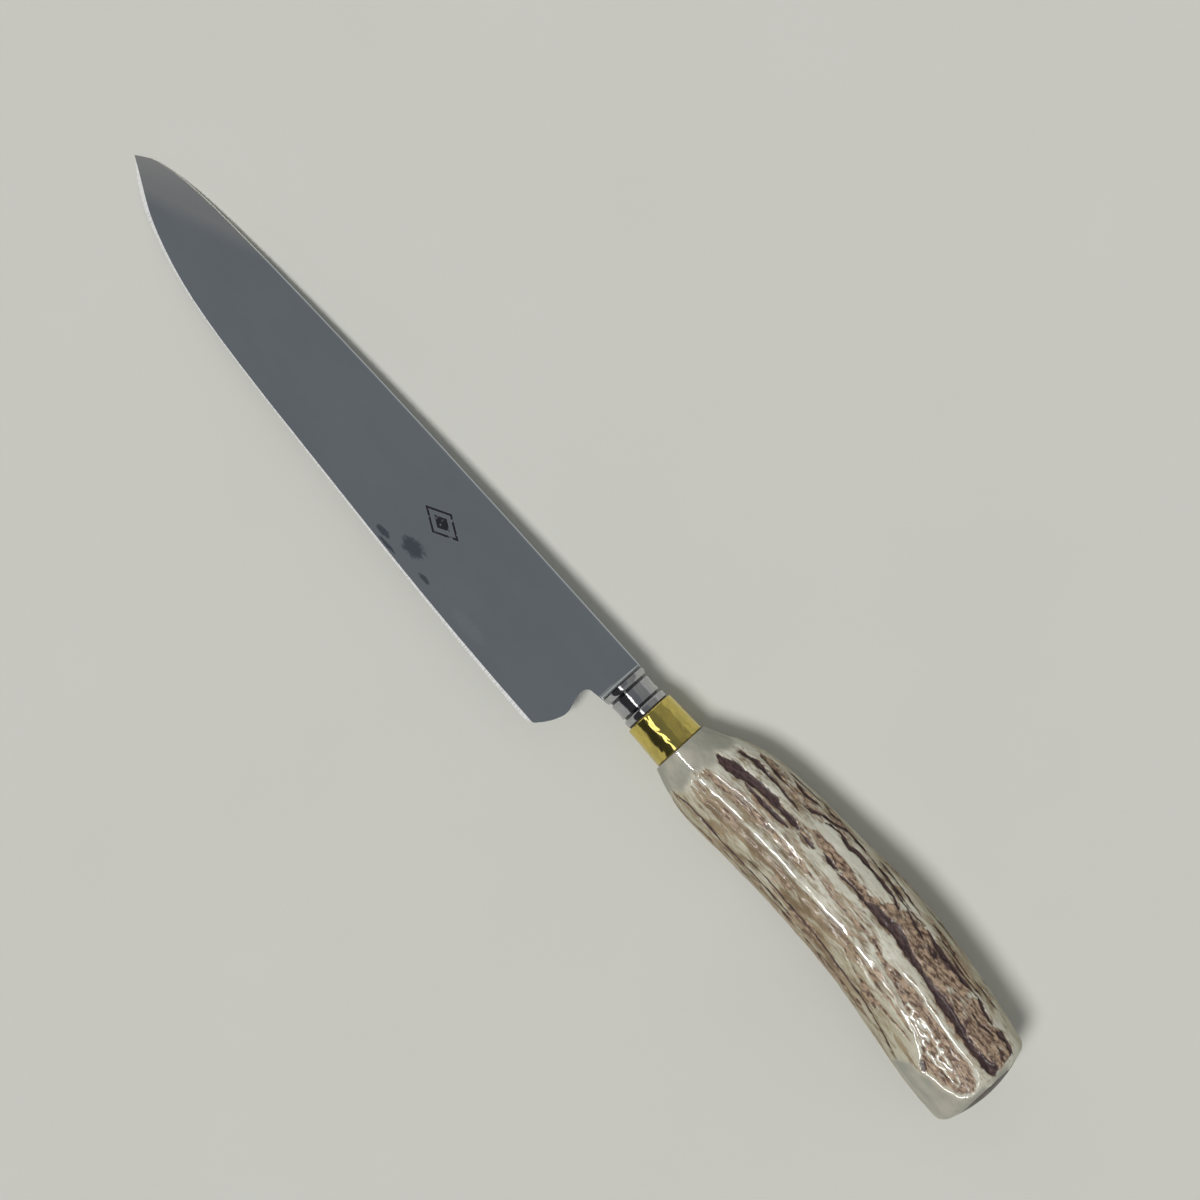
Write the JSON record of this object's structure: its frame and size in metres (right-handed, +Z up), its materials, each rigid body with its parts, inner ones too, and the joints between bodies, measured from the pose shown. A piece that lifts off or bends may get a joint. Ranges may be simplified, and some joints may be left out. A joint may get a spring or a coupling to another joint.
{
  "type": "butcher's knife with stag antler handle",
  "caption": "Butcher's and kitchen knife: tapered forged blade with rounded heel, turned bolster, brass ferrule and a curved stag antler handle.",
  "frame": {"origin": "under the middle of the knife as it lies on its side, on the surface it lies on", "axes": "+X from the point of the blade to the butt, +Y from the cutting edge to the spine, +Z up, across the blade"},
  "size_m": [0.3212, 0.044, 0.0279],
  "materials": {
    "blade_steel": "satin",
    "ferrule_brass": "polished",
    "antler": "gloss",
    "antler_spongy": "matte",
    "dark_seal": "satin",
    "cement": "matte"
  },
  "bodies": {
    "root": {"blade": "blade_steel", "ferrule": "ferrule_brass", "antler_beam": "antler", "antler_core": "antler_spongy", "core_seal": "dark_seal", "tang_cement": "cement", "ferrule_cement": "cement"}
  },
  "joints": []
}
